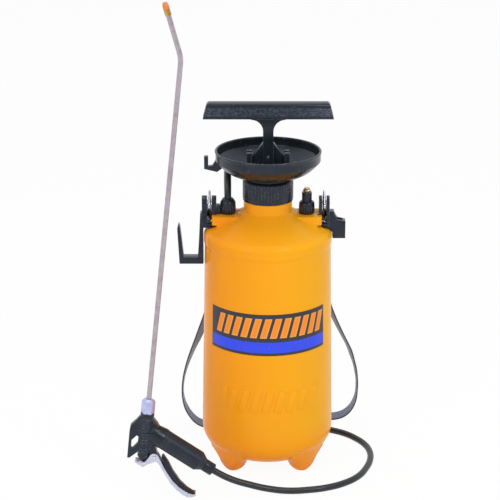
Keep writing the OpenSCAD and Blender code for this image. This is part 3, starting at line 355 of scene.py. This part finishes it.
bright_steel = make_metal("bright_steel", "#dcdde4", "#c2c4cf", (1, 1, 0.08), 0.12, 0.26)
spring_wire = make_metal("bright_wire", "#d8d9e4", "#b9bccb", (1, 1, 1), 0.14, 0.28)
brass = make_metal("turned_brass", "#d9b368", "#b98d45", (1, 1, 0.2), 0.20, 0.34)
trigger_sheet = make_metal("pressed_trigger_sheet", "#cfd0e2", "#bcbed2", (0.2, 1, 1), 0.28, 0.42,
                           metallic=0.65)
plated_nut = make_metal("plated_nut", "#c3c6ee", "#aeb1dc", (1, 1, 0.3), 0.28, 0.40, metallic=0.6)
lance_metal = make_metal("lance_tube_metal", "#b9aeb6", "#a0959f", (1, 1, 0.05), 0.26, 0.40, metallic=0.7)
print("made", [m.name for m in (bright_steel, spring_wire, brass, trigger_sheet, plated_nut, lance_metal)])

# %% [markdown]
# ## Label film
# The label is a printed film round the front: a near-black field with a row of slanted orange bars, a blue
# stripe below and a dark border. It carries no words. The print has a faint screen dot and is slightly
# rubbed, and the film is a little rougher than the tank.

# %% Label film
STRIPE_LOW, STRIPE_HIGH, LABEL_REACH, PRINT_RIM = 0.1803, 0.1953, 0.0838, 0.0005


def make_label_film():
    m = new_material("label_film")
    point = object_point(m)
    along, height, _, _ = round_the_tank(m)
    dots = grain(m, point, 0.0007, 1)
    print_colour = blend_colours(m, spread(m, dots, 0.3, 0.7), colour("#302f38"), colour("#3a3943"))
    stripe = calc(m, "MULTIPLY", spread(m, height, STRIPE_LOW, STRIPE_LOW + PRINT_RIM),
                  spread(m, height, STRIPE_HIGH, STRIPE_HIGH - PRINT_RIM))
    inside = spread(m, calc(m, "ABSOLUTE", along), LABEL_REACH, 0.0832)
    blue = blend_colours(m, spread(m, dots, 0.3, 0.7), colour("#2c44e4"), colour("#3850ee"))
    print_colour = blend_colours(m, calc(m, "MULTIPLY", stripe, inside), print_colour, blue)
    outer = slanted_bars(m, along, height, 0.2005, 0.2265, 0.0770, 0.0086)
    inner = slanted_bars(m, along, height, 0.2013, 0.2257, 0.0762, 0.0070)
    print_colour = blend_colours(m, outer, print_colour, colour("#f6b24e"))
    print_colour = blend_colours(m, inner, print_colour, colour("#f58a22"))
    worn = calc(m, "MULTIPLY", spread(m, grain(m, point, 0.003, 4), 0.62, 0.72), 0.10)
    print_colour = blend_colours(m, worn, print_colour, colour("#b9b6b8"))
    rough = spread(m, grain(m, point, 0.008, 3), 0.3, 0.7, 0.30, 0.42)
    return finish_shader(m, print_colour, rough, relief(m, dots, 0.00001), specular_ior_level=0.3)


label_film = make_label_film()
print("made", label_film.name)

# %% [markdown]
# ## Paint every part of the construction
# Each construction part gets the finish of the stuff it is made of, also where it is hidden now: the pump
# lifts out and the lance unscrews, and then the inside shows.

# %% Materials on the construction
MATERIAL_OF_SLOT = {
    "orange_tank": orange_plastic, "label_film": label_film, "black_plastic": black_plastic,
    "pale_plastic": pale_plastic, "clear_tube": milky_tube, "black_rubber": rubber, "hose_pvc": hose_pvc,
    "steel_rod": bright_steel, "bright_wire": spring_wire, "brass": brass, "trigger_metal": trigger_sheet,
    "lance_metal": lance_metal, "nut_metal": plated_nut, "orange_nozzle": nozzle_plastic,
    "strap_web": rubber,
}


def paint(obj, material):
    """Gives the object this one material."""
    obj.data.materials.clear()
    obj.data.materials.append(material)
    return obj


for node, obj in NODES.items():
    paint(obj, grip_plastic if node == "hand_grip" else MATERIAL_OF_SLOT[SLOT_OF[node]])
print("painted", len(NODES), "parts with", len(set(SLOT_OF.values())), "finishes")

# %% [markdown]
# ## Working by hand
# Loading leaves every part selected, and an operator works on all that is selected. So each step first
# takes one object alone. A finished piece has its place in its mesh and rides on the body it belongs to.

# %% Taking and handing over a piece
MERGE_DISTANCE = 0.000004


def take(obj):
    """Leaves the edit mode, and makes this object the only selected and active one."""
    if bpy.context.object and bpy.context.object.mode != "OBJECT":
        bpy.ops.object.mode_set(mode="OBJECT")
    bpy.ops.object.select_all(action="DESELECT")
    obj.select_set(True)
    bpy.context.view_layer.objects.active = obj
    return obj


def apply_modifier(obj, kind, **settings):
    """Adds a modifier with its settings and puts its result into the mesh."""
    take(obj)
    modifier = obj.modifiers.new(kind.lower(), kind)
    for key, value in settings.items():
        setattr(modifier, key, value)
    bpy.ops.object.modifier_apply(modifier=modifier.name)
    return obj


def hand_over(obj, name, body, material, smooth=35):
    """Puts the place into the mesh, smooths it, paints it and lets it ride on its body."""
    take(obj)
    bpy.ops.object.transform_apply(location=True, rotation=True, scale=True)
    bpy.ops.object.shade_smooth_by_angle(angle=math.radians(smooth))
    obj.name = name
    paint(obj, material)
    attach(obj, body)
    return obj


BODY_OF = {node: body for body, held in frame["record"]["behaviour"]["bodies"].items() for node in held}
print("bodies:", sorted(set(BODY_OF.values())))

# %% [markdown]
# ## Hose
# A little under a metre of flexible PVC hose, 8.5 mm thick. It leaves the outlet straight up, bends over
# behind the funnel, hangs down behind the tank and runs round it on the ground to the gun's handle. A curve
# with a round bevel is the natural tool: its line is the hose's middle line, so its length can be measured.

# %% Hose
HOSE_RADIUS = 0.00425
HOSE_ROUTE = [
    (-51, 0, 353), (-51, 0, 360), (-51, 0.6, 364.5), (-51, 6, 378.5), (-51.3, 19, 391), (-51.8, 37, 395.7),
    (-52.3, 54.5, 391), (-52.8, 68, 378.2), (-53, 75, 361), (-52.8, 79.5, 339.5), (-52, 83, 312),
    (-50, 86, 275), (-47, 88, 238), (-43.5, 89.5, 200), (-39, 91, 162), (-34, 92.3, 125), (-28.5, 93, 88),
    (-21.5, 92.5, 55), (-10.5, 90.5, 28), (7, 88, 11.2), (29, 85.5, 5), (50, 81, 4.5), (70, 73, 4.5),
    (89, 63, 4.5), (107, 52, 4.5), (122, 36, 4.5), (133, 17, 4.5), (138, -5, 4.5), (137, -27, 4.5),
    (130, -52, 4.5), (118, -76, 4.5), (99, -95, 4.5), (75, -108, 4.5), (52, -114, 4.5), (27, -117, 4.8),
    (2, -119, 8.5), (-23, -121, 15.5), (-47, -122, 24), (-69.3, -122, 36.4), (-77.5, -122, 42.1)]


def make_hose():
    """A smooth curve through the route, as thick as the hose."""
    data = bpy.data.curves.new("hose_line", "CURVE")
    data.dimensions = "3D"
    line = data.splines.new("BEZIER")
    line.bezier_points.add(len(HOSE_ROUTE) - 1)
    for point, place in zip(line.bezier_points, HOSE_ROUTE):
        point.co = spot(*place)
        point.handle_left_type = point.handle_right_type = "AUTO"
    line.resolution_u = 8
    data.bevel_depth = HOSE_RADIUS
    data.bevel_resolution = 7
    data.use_fill_caps = True
    hose = bpy.data.objects.new("rubber_hose", data)
    bpy.context.scene.collection.objects.link(hose)
    return hose


hose = make_hose()
bpy.context.view_layer.update()
paint(hose, hose_pvc)
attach(hose, "sprayer")
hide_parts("hose")

# %% [markdown]
# ## Shoulder strap
# A strap of woven webbing, 22 mm wide and 1.6 mm thick, folded round the two wire rings and sewn. It hangs
# from the rings behind the tank, bulges out on both sides and lies across the ground. Webbing keeps its
# width and twists instead of creasing, so the band is built straight along its line: a row of points, and
# at each one the direction of its width. The line is smoothed, and folded round the ring's bar at each end.

# %% Strap line
# Each point is x, y, z in millimetres for one side, and the degrees its width is turned.
STRAP_LEFT = [
    (79.5, 31.5, 322, 4), (77, 42, 304, 12), (73.5, 51, 283, 20), (71.5, 58, 255, 26), (71, 64, 228, 30),
    (73.5, 69, 202, 32), (79, 72, 178, 31), (86.5, 74.5, 156, 29), (94.5, 77, 134, 26),
    (102.5, 80, 114, 19), (108.8, 83, 95, 13), (113, 85.5, 79, 8), (115.8, 88, 61, 3), (116, 89, 45.5, 0),
    (113, 89.5, 30.5, 0), (107, 90, 18, 0), (99.5, 90, 8.5, 0), (90, 90, 2.4, 0), (79, 91, 1, 0)]
STRAP_FLOOR = [(-50, 94.5, 0.82), (-15, 99.5, 0.82), (20, 105, 0.82), (55, 110.5, 0.82)]
STRAP_RIGHT = [
    (80, 32, 322, 4), (78, 42.5, 304, 12), (75, 51, 283, 18), (73, 58, 255, 22), (74, 64, 230, 24),
    (77, 68, 210, 25), (81.5, 71, 191, 24), (89.8, 74.5, 169.5, 21), (97.6, 78.5, 151.5, 19),
    (105.3, 83, 134.7, 17.5), (113, 88.5, 117.4, 16), (118.6, 94, 99, 12), (122.7, 98.5, 83.8, 8),
    (125.3, 102.5, 67, 4), (126.3, 106, 53.5, 1), (125.7, 108, 37.5, 0), (122.3, 110.5, 24, 0),
    (116.5, 112.5, 13.2, 0), (107.5, 114, 5.2, 0), (97, 114.8, 1.6, 0), (88, 115, 1, 0)]
LEFT_RING_X, RIGHT_RING_X, PIN_HEIGHT = 74.7, 71.7, 357
RING_TILT = math.radians(50)
BAR_FROM_PIN = (29, 33)
PARTS_PER_STEP = 5


def ring_point(side_x, u):
    """A point u from the strap pin along the hanging ring, in millimetres."""
    return (side_x, u * math.cos(RING_TILT), PIN_HEIGHT - u * math.sin(RING_TILT))


def strap_side(side, ring_x, listed):
    """One side of the strap, from its ring down, as points with the direction of the width."""
    upper = [(ring_point(side * ring_x, u), (0, 1, 0)) for u in BAR_FROM_PIN]
    lower = [((side * x, y, z), (-side * math.sin(math.radians(t)), math.cos(math.radians(t)), 0))
             for x, y, z, t in listed]
    return upper + lower


def between(a, b, c, d, t):
    """A point on the smooth line through four points, between the second and the third."""
    return [0.5 * (2 * q + (r - p) * t + (2 * p - 5 * q + 4 * r - s) * t * t
                   + (3 * q - p - 3 * r + s) * t ** 3)
            for p, q, r, s in zip(a, b, c, d)]


def smooth_line(points, parts):
    """The points with smooth steps between them."""
    line = []
    for i in range(len(points) - 1):
        four = [points[max(0, min(len(points) - 1, i + k))] for k in (-1, 0, 1, 2)]
        line += [(between(*[f[0] for f in four], step / parts), between(*[f[1] for f in four], step / parts))
                 for step in range(parts)]
    return line + [points[-1]]


strap_points = (strap_side(-1, LEFT_RING_X, STRAP_LEFT) + [(p, (0, 1, 0)) for p in STRAP_FLOOR]
                + strap_side(1, RIGHT_RING_X, STRAP_RIGHT)[::-1])
strap_line = [(spot(*p), Vector(w)) for p, w in smooth_line(strap_points, PARTS_PER_STEP)]
print("strap line of", len(strap_line), "points")


# %% Strap band
TAIL_GAP = 0.00170  # between the middles of the band and of its sewn tail
FOLD_RADIUS = 0.00255
FOLD_DROP = 0.005  # from the fold's middle to the start of the line
TAIL_POINTS = range(14, 0, -2)
TURN_DEGREES = range(125, -86, -30)
BAND_STEPS = [-0.5, -0.47, -0.3, -0.1, 0.1, 0.3, 0.47, 0.5]  # closer together at the selvedges


def fold_round(line, side):
    """The folded end: a short tail on the band's inner side, then once round the ring's bar."""
    inner = Vector((-side, 0, 0))
    tail = []
    for i in TAIL_POINTS:
        along = (line[i + 1][0] - line[i - 1][0]).normalized()
        across = (Vector(line[i][1]) - along * along.dot(line[i][1])).normalized()
        off = along.cross(across)
        tail.append((line[i][0] + off * (TAIL_GAP if off.dot(inner) > 0 else -TAIL_GAP), line[i][1]))
    down = (line[1][0] - line[0][0]).normalized()
    bar = line[0][0] - down * FOLD_DROP
    turn = []
    for a in [math.radians(d) for d in TURN_DEGREES]:
        outwards = FOLD_RADIUS * math.sin(a) * (1 if a > 0 else 0.6)
        turn.append((bar - down * FOLD_RADIUS * math.cos(a) + inner * outwards, line[0][1]))
    return tail + turn


def band(line, width, thickness, name):
    """A flat band along a line of (place, width direction), with UVs in metres, and the band's length."""
    rows, run = [], 0.0
    for i, (place, across) in enumerate(line):
        along = (line[min(i + 1, len(line) - 1)][0] - line[max(i - 1, 0)][0]).normalized()
        across = (across - along * across.dot(along)).normalized()
        run += (place - line[i - 1][0]).length if i else 0.0
        rows.append((place, across, run))
    verts = [place + across * width * step for place, across, _ in rows for step in BAND_STEPS]
    n = len(BAND_STEPS)
    faces = [(i * n + k, i * n + k + 1, (i + 1) * n + k + 1, (i + 1) * n + k)
             for i in range(len(rows) - 1) for k in range(n - 1)]
    mesh = bpy.data.meshes.new(name)
    mesh.from_pydata(verts, [], faces)
    uv = mesh.uv_layers.new(name="along_the_band")
    for loop in mesh.loops:
        row, step = divmod(loop.vertex_index, n)
        uv.data[loop.index].uv = (BAND_STEPS[step] * width, rows[row][2])
    obj = bpy.data.objects.new(name, mesh)
    bpy.context.scene.collection.objects.link(obj)
    apply_modifier(obj, "SOLIDIFY", thickness=thickness, offset=0.0, use_even_offset=True)
    return obj, rows[-1][2]


# %% [markdown]
# ## Webbing
# Webbing is woven in a herringbone: its yarns run slantwise from a middle line to both sides, and its two
# selvedges are tighter. The gaps between the yarns are painted darker as painted shade in the weave, and
# both selvedges are painted near black as painted shade along the band's edges. The band's own UVs are in
# metres, so the yarns have their true size and follow the band round every bend.

# %% Webbing material
YARN_PITCH = 0.0019
SELVEDGE_FROM, SELVEDGE_TO = 0.0088, 0.0097
STRAP_WIDTH, STRAP_THICKNESS = 0.022, 0.0016


def make_webbing():
    m = new_material("strap_webbing")
    uv = put(m, "UVMap", uv_map="along_the_band").outputs[0]
    across, along, _ = put(m, "SeparateXYZ", {0: uv}).outputs
    out = calc(m, "ABSOLUTE", across)
    slant = calc(m, "DIVIDE", calc(m, "ADD", out, along), YARN_PITCH)
    yarn = calc(m, "ABSOLUTE", calc(m, "SUBTRACT", calc(m, "FRACT", slant), 0.5))
    yarn = calc(m, "SQRT", calc(m, "SUBTRACT", 0.25, calc(m, "MULTIPLY", yarn, yarn)))
    yarn = calc(m, "MULTIPLY", yarn, 2.0)  # each yarn is round: 1 along its middle, 0 between two
    rim = spread(m, out, SELVEDGE_FROM, SELVEDGE_TO)
    tint = grain(m, object_point(m), 0.012, 3)
    skin = blend_colours(m, spread(m, tint, 0.3, 0.7), colour("#565e78"), colour("#68708c"))
    # Painted shade: the gaps between the yarns are painted darker, where the weave's grooves fall in shade
    skin = blend_colours(m, spread(m, yarn, 0.75, 0.35, 0.0, 0.35), skin, colour("#262b38"))
    # Painted shade: both selvedges are painted near black, standing in for the shaded edges of the band
    skin = blend_colours(m, rim, skin, colour("#15181e"))
    fuzz = grain(m, object_point(m), 0.0005, 2)
    normal = relief(m, fuzz, 0.00004, relief(m, yarn, 0.00022))
    rough = spread(m, fuzz, 0.3, 0.7, 0.34, 0.50)
    return finish_shader(m, skin, rough, normal, specular_ior_level=0.9, specular_tint=colour("#cfd3f0"))


webbing = make_webbing()
whole_line = fold_round(strap_line, -1) + strap_line + fold_round(strap_line[::-1], 1)[::-1]
strap, strap_length = band(whole_line, STRAP_WIDTH, STRAP_THICKNESS, "shoulder_strap")
hand_over(strap, "shoulder_strap", "carry_strap", webbing, 45)
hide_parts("strap")
print("strap", round(strap_length, 3), "m long")

# %% [markdown]
# ## Rounded copies
# Many construction parts have the right shape but sharp edges. Each of them is copied, its triangles are
# merged back into whole faces, and a Bevel modifier rounds every edge by a width that suits the part. The
# copy then stands for the part.

# %% Rounded copies
SAME_PLANE, SHARP_EDGE = math.radians(0.6), math.radians(28)


def rounded_copy(node, width):
    """A copy of a construction part whose sharp edges are rounded, which then stands for the part."""
    take(NODES[node])
    bpy.ops.object.duplicate(linked=False)
    piece = bpy.context.object
    for key in [k for k in piece.keys() if k.startswith("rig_")]:
        del piece[key]
    piece.parent = None
    piece.data.materials.clear()
    bpy.ops.object.mode_set(mode="EDIT")
    bpy.ops.mesh.select_all(action="SELECT")
    bpy.ops.mesh.remove_doubles(threshold=MERGE_DISTANCE)
    bpy.ops.mesh.dissolve_limited(angle_limit=SAME_PLANE)
    bpy.ops.mesh.normals_make_consistent(inside=False)
    bpy.ops.object.mode_set(mode="OBJECT")
    apply_modifier(piece, "BEVEL", width=width, segments=2, limit_method="ANGLE",
                   angle_limit=SHARP_EDGE, use_clamp_overlap=True, miter_outer="MITER_ARC")
    slot = SLOT_OF[node]
    hand_over(piece, node + "_rounded", BODY_OF[node], MATERIAL_OF_SLOT[slot], 38)
    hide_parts(node)
    print(piece.name, len(piece.data.polygons), "faces")
    return piece


EDGE_WIDTHS = {
    "pump_handle": 0.0010, "funnel": 0.0006, "pump_head": 0.0006, "gun_holder": 0.0008,
    "lance_socket": 0.0007, "gun_body": 0.0004, "hose_nut": 0.0006, "valve_nut": 0.0006,
    "union_nut": 0.0005, "trigger": 0.0003, "trigger_pad": 0.0008, "hose_ferrule": 0.0008}
for node, width in EDGE_WIDTHS.items():
    rounded_copy(node, width)

# %% [markdown]
# ## Valve spring
# The safety valve's spring is held between the plunger and the top of its bore. Its stand-in stays with the
# valve's body instead of rising with the stem.

spring = rounded_copy("valve_spring", 0.0001)
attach(spring, "sprayer")
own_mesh(spring)

# %% [markdown]
# ## Ribs on the screwed caps
# The collar under the funnel and the two caps on the shoulder are turned by hand, so they carry fine upright
# ribs. One rib is modelled: a cube scaled to a bar and bevelled. It is then copied round the cap, and all the
# copies are joined into one piece. The same two steps serve for the raised bars on the tank.

# %% Ribs
def new_bar(size, lean, rounding, segments):
    """A cube scaled to a bar, leaned to the right and bevelled, standing at the origin."""
    bpy.ops.mesh.primitive_cube_add(size=1)
    bar = take(bpy.context.object)
    bar.scale = size
    bar.rotation_euler = (0, lean, 0)
    bpy.ops.object.transform_apply(location=False, rotation=True, scale=True)
    return apply_modifier(bar, "BEVEL", width=rounding, segments=segments)


def copied_to(bar, places):
    """One piece with a copy of the bar at each place, turned as the place says."""
    copies = []
    for place, turned in places:
        take(bar)
        bpy.ops.object.duplicate(linked=False)
        copy = bpy.context.object
        copy.location, copy.rotation_euler = place, turned
        bpy.ops.object.transform_apply(location=True, rotation=True, scale=True)
        copies.append(copy)
    bpy.data.objects.remove(bar)
    take(copies[0])
    for copy in copies:
        copy.select_set(True)
    bpy.ops.object.join()
    return bpy.context.object


def round_axis(x, radius, height, turn):
    """A place at a distance from the upright line through x, turned from the front to the right."""
    return spot(x + math.sin(turn) * radius, -math.cos(turn) * radius, height)


def ribs(name, centre, radius, low, high, count, wide, deep):
    """Upright ribs round a cap: centre is its x and low and high are heights, all in millimetres."""
    rib = new_bar((wide, deep * 2, (high - low) / 1000), 0, min(wide, deep * 2) * 0.35, 2)
    turns = [2 * math.pi * i / count for i in range(count)]
    places = [(round_axis(centre, radius, (low + high) / 2, turn), (0, 0, turn)) for turn in turns]
    return hand_over(copied_to(rib, places), name, "sprayer", black_plastic)


ribs("collar_ribs", 0, 31.9, 361.5, 384, 48, 0.0014, 0.00025)
ribs("hose_cap_ribs", -51, 9.7, 341.5, 350.5, 18, 0.0012, 0.0004)
ribs("valve_cap_ribs", 49.5, 9.7, 341.5, 350.5, 18, 0.0012, 0.0004)
print("ribs made")

# %% [markdown]
# ## Raised bars on the tank
# Low on the front the mould raises a row of slanted bars. Each bar stands less than a millimetre out of the
# wall. One flat block is leaned over and its edges are rounded, and it is copied round the tank's axis. The
# wall is a little wider at the foot, so the bars lean back with it, and their backs are sunk in it.

# %% Raised bars
BAR_COUNT, BAR_PITCH, BAR_HEIGHT = 9, 15.5, 113  # the pitch and the height of the middle, in millimetres
BAR_SIZE = (0.0098, 0.0018, 0.030)
BAR_LEAN, WALL_LEAN = math.radians(15), math.radians(-1.1)
WALL_RADIUS = 84.5

flat_bar = new_bar(BAR_SIZE, BAR_LEAN, BAR_SIZE[1] * 0.3, 3)
bar_turns = [(i - (BAR_COUNT - 1) / 2) * BAR_PITCH / WALL_RADIUS for i in range(BAR_COUNT)]
bar_places = [(round_axis(0, WALL_RADIUS, BAR_HEIGHT, turn), (WALL_LEAN, 0, turn)) for turn in bar_turns]
hand_over(copied_to(flat_bar, bar_places), "tank_badge_bars", "sprayer", raised_plastic)
print("badge bars made")

# %% [markdown]
# ## Floor and light
# A plain pale floor and a white surround. What the camera, a glossy surface or glass sees of them is white,
# and everything else gets soft, even light, so that each colour looks as it was written. Two lamps at the
# front light the tank's two sides, and one above gives the flat tops their pale sheen.

# %% Floor, world and lamps
WHITE = (1, 1, 1, 1)
SURROUND_LIGHT = 0.62
FLOOR_WHITENESS = 0.95  # how much of the floor is drawn as plain white, and the rest takes the shadows


def sees_background(owner):
    """1 for rays that show the surround: from the camera, from gloss and through glass."""
    path = put(owner, "LightPath").outputs
    seen = calc(owner, "MAXIMUM", path["Is Camera Ray"], path["Is Glossy Ray"])
    return calc(owner, "MAXIMUM", seen, path["Is Transmission Ray"])


def brightness_behind(owner):
    """1 behind the object, where the camera looks, and less in front, where the room is darker."""
    direction = put(owner, "TexCoord").outputs["Generated"]
    return spread(owner, put(owner, "SeparateXYZ", {0: direction}).outputs["Y"], -0.5, 0.15, 0.45, 1.0)


def make_world():
    """A surround that lights evenly and is seen as white."""
    world = bpy.data.worlds.new("studio")
    world.use_nodes = True
    bpy.context.scene.world = world
    lit = world.node_tree.nodes["Background"]
    lit.inputs["Color"].default_value = WHITE
    lit.inputs["Strength"].default_value = SURROUND_LIGHT
    shown = put(world, "Background", {"Color": WHITE, "Strength": brightness_behind(world)})
    mix = put(world, "MixShader", {0: sees_background(world), 1: lit.outputs[0], 2: shown.outputs[0]})
    world.node_tree.links.new(mix.outputs[0], world.node_tree.nodes["World Output"].inputs[0])


def make_floor():
    """A wide plane that is nearly white to the camera and still shows a soft shadow."""
    bpy.ops.mesh.primitive_plane_add(size=14, location=(0, 2, 0))
    floor = bpy.context.object
    floor.name = "floor"
    m = finish_shader(new_material("pale_floor"), (0.9, 0.9, 0.9, 1), 0.9, specular_ior_level=0.0)
    nodes = m.node_tree.nodes
    white = put(m, "Emission", {"Strength": 1.0})
    share = calc(m, "MULTIPLY", sees_background(m), FLOOR_WHITENESS)
    mix = put(m, "MixShader", {0: share, 1: nodes["Principled BSDF"].outputs[0], 2: white.outputs[0]})
    m.node_tree.links.new(mix.outputs[0], nodes["Material Output"].inputs[0])
    floor.data.materials.append(m)


def lamp(name, place, target, size, power):
    """A round lamp at a place, turned to its target."""
    data = bpy.data.lights.new(name, "AREA")
    data.shape = "DISK"
    data.size = size
    data.energy = power
    obj = bpy.data.objects.new(name, data)
    bpy.context.scene.collection.objects.link(obj)
    obj.location = place
    obj.rotation_euler = (Vector(target) - Vector(place)).to_track_quat("-Z", "Y").to_euler()


make_world()
make_floor()
lamp("right_lamp", (1.0, -1.5, 1.5), (0.03, 0, 0.25), 0.5, 11.5)
lamp("left_lamp", (-1.1, -1.5, 1.4), (0.03, 0, 0.25), 0.45, 9.6)
lamp("top_lamp", (0.0, 0.1, 1.9), (0.0, 0, 0.3), 1.2, 8.5)
bpy.context.scene.view_settings.view_transform = "Standard"
